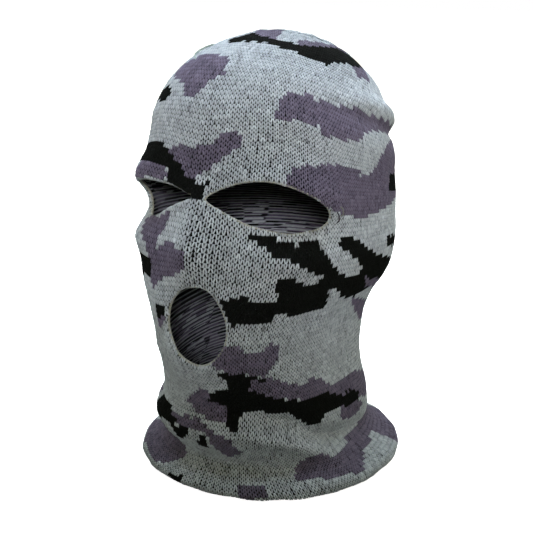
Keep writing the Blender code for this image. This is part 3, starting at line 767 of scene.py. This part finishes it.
def stitch_columns(course, wales, first, last, fine):
    """Mesh columns of a patch: place within the wale, and wale number. Each wale has eight
    columns (twelve when fine), drawn in towards the legs of the stitch they lie on."""
    per = WALES / wales
    line = np.clip(LEG_OFFSET - LEG_LEAN * (course - np.round(course)), 0.09, 0.43)[:, None]
    middle = wale_angle((np.arange(first, last)[None, :] + 0.5) * per, ring_of(course)[:, None])
    width = lookup(middle, np.broadcast_to(course[:, None], middle.shape))[2] * per
    leg = leg_radius(width) / width
    steps = (-1.25, -0.8, 0, 0.8, 1.25) if fine else (-0.85, 0, 0.85)
    right = [np.clip(line + k * leg, 0.02 + 0.012 * i, 0.48 - 0.012 * (len(steps) - i))
             for i, k in enumerate(steps)]
    zero = np.zeros_like(width)
    columns = np.stack([zero - 0.5] + [-place for place in right[::-1]] + [zero] + right, -1)
    x = np.hstack([columns.reshape(len(course), -1), np.full((len(course), 1), -0.5)])
    wale = np.append(np.repeat(np.arange(first, last), columns.shape[-1]), last)
    return x, np.broadcast_to(wale[None, :], x.shape)


def knit_block(name, wales, first, last, bottom, top, fine=False):
    """A patch of knitting with `wales` stitches round the whole mask, from wale first to last
    and from course bottom to top."""
    per = WALES / wales
    course = (np.arange(bottom * ROWS_PER_COURSE, top * ROWS_PER_COURSE + 1) / ROWS_PER_COURSE
              + 0.5 / ROWS_PER_COURSE)
    course = course[course < TOP_COURSE - 0.2]
    x, wale = stitch_columns(course, wales, first, last, fine)
    angle = wale_angle((wale + 0.5 + x) * per, ring_of(course)[:, None])
    course = np.broadcast_to(course[:, None], x.shape)
    point, out, width, height, ring = lookup(angle, course)
    width = width * per
    radius = leg_radius(width)
    wale_id = wale % wales
    level, stitch = stitch_height(x, course, wale_id % 331, width, np.maximum(height, 0.5), radius)
    # painted shade: the legs' flanks and the gaps between stitches are darkened towards the
    # near-black float colour, the lower the darker
    unshaded_share = ease(-0.22, 0.30 + 0.78 * radius, level)[..., None] ** 1.15
    level = np.where(level > 0, level * np.clip(width / 2.2, 0.55, 1.0), level)

    # colour by the yarn of the stitch on top, with motif borders a little ragged
    ragged = 0.12 * scatter(SCATTER_LIFT, stitch // 3, wale_id // 2)
    yarn_course = np.clip(stitch.astype(float) - 0.1 + ragged, 0, TOP_COURSE - 1)
    middle = wale_angle((wale + 0.5) * per, ring_of(yarn_course))
    tone = 1 + 0.10 * scatter(SCATTER_TONE, stitch, wale_id)
    rgb = YARNS[camouflage(middle, parted_ring(middle, yarn_course))] * tone[..., None]
    rgb = FLOAT_AND_GAP_SHADE_RGB * (1 - unshaded_share) + rgb * unshaded_share

    # at an opening the fabric rolls inwards
    gap, edge = opening_distance(angle, ring, point)
    clear = np.maximum(gap, 0.0)
    beyond_edge = (gap < 0)[..., None]
    away = unit(point - edge, least=1e-6)
    away = np.where(beyond_edge, -away, away)
    point = np.where(beyond_edge, edge, point)
    turn = np.arcsin(np.clip((CURL - clear + CURL_OUT) / CURL, 0, 1))
    up = out * np.cos(turn)[..., None] - away * np.sin(turn)[..., None]
    level = np.where(clear < 0.15, np.maximum(level, -0.2), level)
    point = (point - out * (CURL * (1 - np.cos(turn)))[..., None]
             + away * CURL_OUT * ease(2.2, 0.4, clear)[..., None] + up * level[..., None])
    # gentle unevenness of the worn fabric
    wave = (0.35 * np.sin(angle * 0.31 + 1.3 * np.sin(course * 0.11))
            * np.sin(course * 0.23 + angle * 0.05))
    point = point + out * wave[..., None]
    point[..., 2] = np.maximum(point[..., 2], 0.05)

    # keep the fabric and one point beyond it, so the cut follows the opening's edge
    solid = gap > 0.1
    grown = solid.copy()
    grown[1:] |= solid[:-1]
    grown[:-1] |= solid[1:]
    wider = grown.copy()
    wider[:, 1:] |= grown[:, :-1]
    wider[:, :-1] |= grown[:, 1:]
    keep = (gap > 0) | wider
    kept = keep[:-1, :-1] & keep[:-1, 1:] & keep[1:, 1:] & keep[1:, :-1]
    kept &= solid[:-1, :-1] | solid[:-1, 1:] | solid[1:, 1:] | solid[1:, :-1]
    item = mesh_object(name, *used_only(point, grid_quads(*x.shape)[kept], rgb))
    dress(item, KNIT_MATERIAL)
    return item


def knit_stages():
    """Wales and last course of each stage: every second stitch is taken together as the crown
    closes, once the wales get narrower than the given width in mm."""
    courses = np.arange(0, TOP_COURSE, 0.05)
    girth = np.interp(courses, TABLE_COURSES, GIRTHS)
    stages = []
    reached = np.interp(200.0, FINE_RINGS, FINE_COURSES)
    for wales, least_width in ((WALES, 1.14), (124, 1.25), (62, 1.3), (31, 1.3), (16, 0.9)):
        narrow = (courses > reached) & (girth / wales < least_width)
        reached = float(np.round(courses[narrow][0]) if narrow.any() else np.floor(TOP_COURSE))
        stages.append((wales, reached))
    return stages


def knit_mask():
    (_, body_top), *crown_stages = knit_stages()
    bands = np.round(np.linspace(0, body_top, 5)).astype(int)
    sectors = (0, 42, 84, 124, 164, 206, WALES)
    blocks = [knit_block(f"knit_body_{i + 1}_{j + 1}", WALES, sectors[j], sectors[j + 1],
                         bands[i], bands[i + 1], fine=84 <= sectors[j] < 164)
              for i in range(4) for j in range(6)]
    start = body_top
    for k, (wales, end) in enumerate(crown_stages):
        if end - start < 1:
            continue
        knit_block(f"knit_crown_{k + 1}", wales, 0, wales, int(start), int(end))
        start = end
    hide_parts("knit_body")


knit_mask()


def purl_side(name, first, last):
    """Inside of the knit, seen through the openings and from below: each course shows its purl
    bumps and the two yarns that float behind them."""
    course = np.arange(3 * ROWS_PER_COURSE,
                       int((TOP_COURSE - 0.6) * ROWS_PER_COURSE)) / ROWS_PER_COURSE
    wale, course = np.meshgrid(np.arange(first, last + 1), course)
    angle = wale_angle(wale.astype(float), ring_of(course))
    point, out, _, _, ring = lookup(angle, course)
    gap, edge = opening_distance(angle, ring, point)
    whole = np.floor(course + 1e-6).astype(int)
    third = np.floor((course - whole) * 3 + 1e-6).astype(int)
    raised = ((course - whole) * 6 + 0.5).astype(int) % 2
    wale = wale % WALES
    yarn = camouflage(angle, ring)
    # a float starts and ends where its yarn is next needed, every six to fourteen stitches
    shift = (scatter(SCATTER_LEG, whole, whole * 7) * 6).astype(int)
    run = (wale + shift) // (6 + (whole * 5) % 9)
    strand = whole * 3 + third
    flip = scatter(SCATTER_LIFT, strand, run) > 0
    floating = np.where((third == 1) ^ flip, (yarn + 1) % 3, (yarn + 2) % 3)
    yarn = np.where(third == 0, yarn, floating)
    purl_bump = 0.55 * np.abs(np.sin(pi * (wale * 0.5 + 0.25)))
    height = np.where(third == 0, purl_bump, 0.35 + 0.12 * scatter(SCATTER_TONE, strand, run))
    height = height * (0.35 + 0.65 * raised)
    # painted shade: the lower rows between the raised ridges are darkened; the scatter is random
    # tone
    tone = (0.62 + 0.38 * raised) * (1 + 0.09 * scatter(SCATTER_TONE, strand, wale))
    rgb = YARNS[yarn] * np.clip(tone, 0.3, 1.3)[..., None]
    point = np.where((gap < 0)[..., None], edge, point)
    point = point - out * (1.7 + np.clip(height, 0, 0.9))[..., None]
    point[..., 2] = np.maximum(point[..., 2], 0.3)
    far = gap > 0.5
    kept = far[:-1, :-1] & far[1:, 1:] & far[:-1, 1:] & far[1:, :-1]
    quads = grid_quads(*wale.shape)[kept][:, ::-1]
    dress(mesh_object(name, *used_only(point, quads, rgb)), PURL_MATERIAL)


purl_side("knit_purl_side_right", 0, WALES // 2)
purl_side("knit_purl_side_left", WALES // 2, WALES)


# ============================================================ turned edges
def edge_directions(loop):
    """Points of an opening's edge, smoothed normals, and directions away from the opening."""
    point = surface(loop[:, 0] * DEGREE, loop[:, 1])
    out = normal(loop[:, 0] * DEGREE, loop[:, 1])
    for _ in range(6):
        out = out + np.roll(out, 1, 0) + np.roll(out, -1, 0)
    out = unit(out)
    away = unit(np.cross(unit(np.roll(point, -2, 0) - np.roll(point, 2, 0)), out))
    if np.sum((point - point.mean(0)) * away) < 0:
        away = -away
    return point, out, away


def edge_roll(name, outline, node):
    """Overcast stitches slanting over a rolled edge."""
    pitch, steps_per_stitch, sides = 2.3, 10, 18
    half_width, half_depth = 0.62, 0.85
    offset, sunk = 0.42, 1.75        # middle of the roll, away from the edge and behind it
    stitches = int(round(smooth_loop(outline, 64)[1] / pitch))
    steps = stitches * steps_per_stitch
    loop = smooth_loop(outline, steps)[0]
    point, out, away = edge_directions(loop)
    travelled, around = np.meshgrid(np.arange(steps) / steps_per_stitch,
                                    np.arange(sides) / sides * 2 * pi, indexing="ij")
    beat = np.abs(np.sin(pi * (travelled + 0.33 * np.sin(around) + 0.12)))
    jitter = np.interp(travelled, np.arange(stitches + 2), rng.normal(0, 1, stitches + 2))
    lump = 0.16 * (beat ** 0.6 - 0.6) + 0.05 * jitter
    sideways = offset + half_width * (1 + lump) * np.cos(around)
    outward = half_depth * (1 + lump * 0.55) * np.sin(around) - sunk
    points = (point[:, None] + away[:, None] * sideways[..., None]
              + out[:, None] * outward[..., None]).reshape(-1, 3)
    # painted shade: the grooves between the overcast stitches are darkened; the jitter is random
    # tone
    tone = (0.62 + 0.38 * ease(0.05, 0.5, beat)) * (1 + 0.06 * jitter)
    yarn = camouflage(*(np.repeat(loop[:, k][:, None], sides, 1) for k in (0, 1)))
    rgb = EDGE_RGB * tone[..., None] * EDGE_SHADES[yarn][..., None]
    quads = grid_quads(steps, sides, close_rows=True, close_columns=True).reshape(-1, 4)
    # wind the quads so that they face out of the roll
    corner, second, third = points[quads[0][:3]]
    centre = point[0] + away[0] * offset - out[0] * sunk
    if np.cross(second - corner, third - corner) @ (corner - centre) < 0:
        quads = quads[:, ::-1]
    item = mesh_object(name, points, quads, rgb)
    dress(item, EDGE_MATERIAL, replaces=node)


edge_roll("left_eye_turned_edge", LEFT_EYE, "left_eye_edge")
edge_roll("right_eye_turned_edge", RIGHT_EYE, "right_eye_edge")
edge_roll("mouth_turned_edge", MOUTH, "mouth_edge")


def hem_inside():
    """The hem's turn continues inwards and up to the purl side."""
    rows, columns = 9, WALES * 2 + 1
    half_wales = np.arange(columns)
    angle = wale_angle(half_wales / 2.0)
    low, low_out = fabric(angle, np.full(columns, ROLL_END))
    high, high_out = fabric(angle, np.full(columns, 9.5))
    part = np.linspace(0, 1, rows)[:, None, None]
    sag = np.sin(pi * part)
    away = radial(angle * DEGREE)
    ribs = 0.22 * np.abs(np.sin(pi * half_wales / 2.0))[:, None]
    points = ((low - low_out * 0.2) * (1 - part) + (high - high_out * 1.9) * part
              - away * (1.2 * sag + ribs) - np.array([0, 0, 1.0]) * 0.9 * sag)
    points[..., 2] = np.maximum(points[..., 2], 0.05)
    yarn = camouflage(np.broadcast_to(angle, (rows, columns)), np.full((rows, columns), 5.0))
    tone = 0.75 + 0.12 * scatter(SCATTER_TONE, np.arange(rows)[:, None], half_wales)
    rgb = np.clip(YARNS[yarn] * tone[..., None], 0.004, 1)
    item = mesh_object("hem_turned_edge", points, grid_quads(rows, columns)[..., ::-1], rgb)
    dress(item, EDGE_MATERIAL, replaces="hem_edge")


hem_inside()


# ============================================================ loose yarns
def yarn_tube(name, path, radius, colour, replaces=None):
    """Plied yarn along a path of points in mm."""
    plies, turns_per_mm, sides = 3, 0.28, 14
    path = np.asarray(path, float)
    travelled = running_sum(np.linalg.norm(np.diff(path, axis=0), axis=1))
    count = max(24, int(travelled[-1] / 0.3))
    stops = np.linspace(0, travelled[-1], count)
    middle = np.stack([np.interp(stops, travelled, path[:, k]) for k in range(3)], 1)
    for _ in range(4):
        middle[1:-1] = (middle[:-2] + 2 * middle[1:-1] + middle[2:]) / 4
    along = unit(np.gradient(middle, axis=0))
    side = unit(np.cross(along[0], np.array([0.3, 0.2, 0.93])))
    side_ways = []
    for direction in along:
        side = unit(side - direction * (side @ direction))
        side_ways.append(side)
    side_ways = np.stack(side_ways)
    other_ways = np.cross(along, side_ways)
    around = np.arange(sides) / sides * 2 * pi
    ply = np.cos(plies * (around + 2 * pi * turns_per_mm * stops[:, None]))
    to_end = np.minimum(np.arange(count), np.arange(count)[::-1])
    taper = np.minimum(1.0, 0.15 + to_end / 2.5)[:, None]
    reach = (radius * taper * (1 + 0.16 * ply))[..., None]
    points = (middle[:, None] + np.cos(around)[:, None] * side_ways[:, None] * reach
              + np.sin(around)[:, None] * other_ways[:, None] * reach)
    shade = 0.72 + 0.28 * ply
    rgb = np.array(colour) * (0.75 + 0.25 * shade)[..., None]
    item = mesh_object(name, points, grid_quads(count, sides, close_columns=True), rgb)
    face_outwards(item, fill_ends=True)
    dress(item, EDGE_MATERIAL, replaces=replaces)


def on_fabric(stations):
    """Path from (angle, ring, lift off the fabric in mm)."""
    angle, ring, lift = np.array(stations, float).T
    point, out = fabric(angle, ring)
    return point + out * lift[:, None]


# a pulled yarn lies over the crown's right front
yarn_tube("crown_pulled_yarn", on_fabric([
    (-23, 259, -0.3), (-26, 257.5, 1.2), (-29, 255, 1.7), (-31, 252, 1.8), (-30.5, 249, 1.7),
    (-27, 246, 1.2), (-23, 243, -0.3)]), radius=0.6, colour=(0.30, 0.37, 0.33))
# two loops at the outer corner of the left eye
yarn_tube("eye_corner_loop_1", on_fabric([
    (59.5, 180, -0.4), (61.5, 178, 1.4), (62.5, 174.5, 1.5), (61, 172, -0.3)]),
    radius=0.42, colour=(0.05, 0.045, 0.055))
yarn_tube("eye_corner_loop_2", on_fabric([
    (60.5, 183, -0.4), (63, 181, 1.3), (64, 178, 1.4), (63, 176, -0.3)]),
    radius=0.42, colour=(0.16, 0.17, 0.15))

TOP_LEAN = radians(LEAN[-1, 1])
CROWN_AXIS = np.array([0, sin(TOP_LEAN), cos(TOP_LEAN)])


def crown_circle(turn, radius):
    """Offsets round the crown's leaning axis."""
    across = np.array([1.0, 0, 0])
    level = np.cross(CROWN_AXIS, across)
    return (np.cos(turn)[:, None] * across + np.sin(turn)[:, None] * level) * radius[:, None]


def closing_coil():
    """The drawn-up centre of the crown, outside."""
    count, points_per_turn = 60, 14
    part = np.arange(count) / (count - 1)
    turn = 2 * pi * np.arange(count) / points_per_turn
    path = (surface(0.0, TOP - 0.01) + crown_circle(turn, 3.3 - 2.7 * part)
            + CROWN_AXIS * (0.2 + 0.9 * part)[:, None])
    yarn_tube("crown_closing_coil", path, radius=0.62, colour=YARNS[0])


def gather_yarn():
    """The scalloped ring of yarn at the crown."""
    low, high = cad_box("crown_gather_yarn")
    turn = 2 * pi * np.arange(129) / 128
    radius = (high[0] - low[0]) / 2 - 1.2 + 0.6 * np.cos(8 * turn)
    yarn_tube("crown_gather_yarn_plied", (low + high) / 2 + crown_circle(turn, radius),
              radius=0.85, colour=CLOSING_RGB, replaces="crown_gather_yarn")


def yarn_tail():
    low, high = cad_box("yarn_tail")
    part = np.arange(40) / 39
    path = np.stack([
        low[0] + (high[0] - low[0]) * (0.42 + 0.45 * np.sin(2.4 * part)),
        high[1] + (low[1] - high[1]) * (0.25 + 0.6 * part - 0.5 * part * (1 - part)),
        high[2] + (low[2] - high[2]) * part], 1)
    yarn_tube("yarn_tail_plied", path, radius=0.85, colour=CLOSING_RGB, replaces="yarn_tail")


closing_coil()
gather_yarn()
yarn_tail()


# ============================================================ blank woven label
def label_material():
    material, tree, shader = new_material("label_ribbon_weave")
    place = add_node(tree, "ShaderNodeTexCoord").outputs["Object"]
    warp, weft = (add_node(tree, "ShaderNodeTexWave",
                           {"Scale": 900.0, "Distortion": 0.6, "Vector": place},
                           bands_direction=direction).outputs["Fac"] for direction in "XZ")
    weave = add_node(tree, "ShaderNodeMath", {0: warp, 1: weft}, operation="MULTIPLY").outputs[0]
    ramp = add_node(tree, "ShaderNodeValToRGB", {0: weave})
    ramp.color_ramp.elements[0].color = (0.60, 0.60, 0.56, 1)
    ramp.color_ramp.elements[1].color = (0.84, 0.84, 0.80, 1)
    bump = add_node(tree, "ShaderNodeBump", {
        "Strength": 0.4, "Distance": 0.0002, "Height": weave})
    set_inputs(tree, shader, {"Base Color": ramp.outputs[0], "Normal": bump.outputs[0],
                              "Roughness": 0.6, "Sheen Weight": 0.3})
    return material


def ribbon_label():
    """A ribbon that hangs from its top edge and bows forwards."""
    margin, half_thickness, bow = 0.2, 0.22, 0.9
    columns, rows = 29, 21
    low, high = cad_box("care_label")
    x, z = np.meshgrid(np.linspace(low[0] + margin, high[0] - margin, columns),
                       np.linspace(high[2], low[2] + margin, rows))
    drop = (high[2] - z) / (high[2] - low[2])
    ripple = 1 + 0.35 * np.cos((x - low[0]) / (high[0] - low[0]) * 2 * pi)
    y = (low[1] + high[1]) / 2 - bow * drop ** 2 * ripple
    points = np.concatenate([np.stack([x, y + offset, z], -1).reshape(-1, 3)
                             for offset in (-half_thickness, half_thickness)])
    count = columns * rows
    front = grid_quads(rows, columns).reshape(-1, 4)[:, [0, 3, 2, 1]]
    back = front[:, ::-1] + count
    index = np.arange(count).reshape(rows, columns)
    rim = np.concatenate([index[0, :], index[1:, -1], index[-1, -2::-1], index[-2:0:-1, 0]])
    following = np.roll(rim, -1)
    border = np.stack([rim, following, following + count, rim + count], -1)
    item = mesh_object("label_ribbon_piece", points, np.concatenate([front, back, border]))
    face_outwards(item)
    dress(item, label_material(), body="label", replaces="care_label")


ribbon_label()
label_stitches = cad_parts["label_stitches"]
label_stitches.data.materials.clear()
label_stitches.data.materials.append(THREAD_MATERIAL)


# ============================================================ floor and world
def camera_mix(tree, other_rays, camera_rays):
    """One colour for what the camera sees, another for the light it gives; also the test."""
    is_camera = add_node(tree, "ShaderNodeLightPath").outputs["Is Camera Ray"]
    mix = add_node(tree, "ShaderNodeMix",
                   {"A": other_rays, "B": camera_rays, "Factor": is_camera}, data_type="RGBA")
    return mix.outputs["Result"], is_camera


def build_floor():
    half = 6.0           # metres
    mesh = bpy.data.meshes.new("floor")
    mesh.from_pydata([(-half, -half, 0), (half, -half, 0), (half, half, 0), (-half, half, 0)],
                     [], [(0, 1, 2, 3)])
    floor = link_object("floor", mesh)
    material, tree, shader = new_material("floor_paper")
    colour, is_camera = camera_mix(tree, other_rays=(0.16, 0.165, 0.15, 1),
                                   camera_rays=(0.93, 0.93, 0.935, 1))
    glow = add_node(tree, "ShaderNodeMath", {0: is_camera, 1: 0.97}, operation="MULTIPLY")
    set_inputs(tree, shader, {
        "Base Color": colour, "Roughness": 0.95, "Specular IOR Level": 0.0,
        "Emission Color": (1, 1, 1, 1), "Emission Strength": glow.outputs[0]})
    mesh.materials.append(material)


def build_world():
    world = bpy.data.worlds.new("studio")
    bpy.context.scene.world = world
    world.use_nodes = True
    tree = world.node_tree
    colour, _ = camera_mix(tree, other_rays=(0.278, 0.268, 0.165, 1), camera_rays=(1, 1, 1, 1))
    set_inputs(tree, tree.nodes["Background"], {"Color": colour, "Strength": 1.0})


build_floor()
build_world()

# ============================================================ lights and camera
CAMERA_TURN, CAMERA_RISE = radians(31.5), radians(17.0)      # towards the wearer's left, and up
CAMERA_DISTANCE, AIM_HEIGHT, CAMERA_SHIFT = 700.0, 128.3, -3.95      # mm, in ring axes
VIEW_WIDTH = 368.9426    # mm seen across the picture at the camera distance
SENSOR_WIDTH = 36.0
forward = np.array([-sin(CAMERA_TURN) * cos(CAMERA_RISE), cos(CAMERA_TURN) * cos(CAMERA_RISE),
                    -sin(CAMERA_RISE)])
right = np.array([cos(CAMERA_TURN), sin(CAMERA_TURN), 0.0])
# name, angle from the camera round the mask, height angle, distance (m), size (m),
# spread (degrees), aim height (m), watts, colour
LIGHTS = [
    ("top", 0, 89, 0.75, 0.6, 180, 0.15, 4.9, (0.66, 0.77, 1.0)),
    ("front", 0, 20, 1.3, 0.34, 16, 0.225, 0.225, (0.98, 0.93, 1.0)),
    ("right", 75, 35, 1.2, 0.7, 180, 0.15, 1.8, (1.0, 0.97, 0.92)),
    ("left_back", -140, 30, 1.2, 0.7, 180, 0.15, 8.0, (0.94, 0.96, 1.0)),
    ("right_back", 140, 30, 1.2, 0.7, 180, 0.15, 7.5, (0.94, 0.97, 1.0)),
    ("back_top", 180, 60, 1.2, 0.7, 180, 0.15, 3.6, (0.95, 0.98, 1.0))]


def place(item, location, direction):
    item.location = tuple(location)
    item.rotation_euler = direction.to_track_quat("-Z", "Y").to_euler()


def build_lights():
    toward_camera = -forward * np.array([1, 1, 0])
    toward_camera /= np.linalg.norm(toward_camera)
    for name, turn, rise, distance, size, spread, aim_height, watts, colour in LIGHTS:
        turn, rise = radians(turn), radians(rise)
        target = np.array([0, 0, aim_height])
        location = target + (toward_camera * cos(turn) * cos(rise) + right * sin(turn) * cos(rise)
                             + np.array([0, 0, sin(rise)])) * distance
        light = bpy.data.lights.new("light_" + name, "AREA")
        light.shape = "DISK"
        light.size = size
        light.energy = watts
        light.color = colour
        light.spread = radians(spread)
        place(link_object("light_" + name, light), location,
              Vector(tuple(target)) - Vector(tuple(location)))


def build_camera():
    camera = bpy.data.cameras.new("camera")
    camera.sensor_width = SENSOR_WIDTH
    camera.lens = SENSOR_WIDTH * CAMERA_DISTANCE / VIEW_WIDTH
    item = link_object("camera", camera)
    eye = (np.array([0, 0, AIM_HEIGHT]) - forward * CAMERA_DISTANCE + right * CAMERA_SHIFT
           - ORIGIN)
    place(item, eye * MM, Vector(forward))
    bpy.context.scene.camera = item
    bpy.context.scene.view_settings.view_transform = "Standard"


build_lights()
build_camera()

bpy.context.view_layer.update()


def plain(bounds):
    return [[float(k) for k in row] for row in bounds]
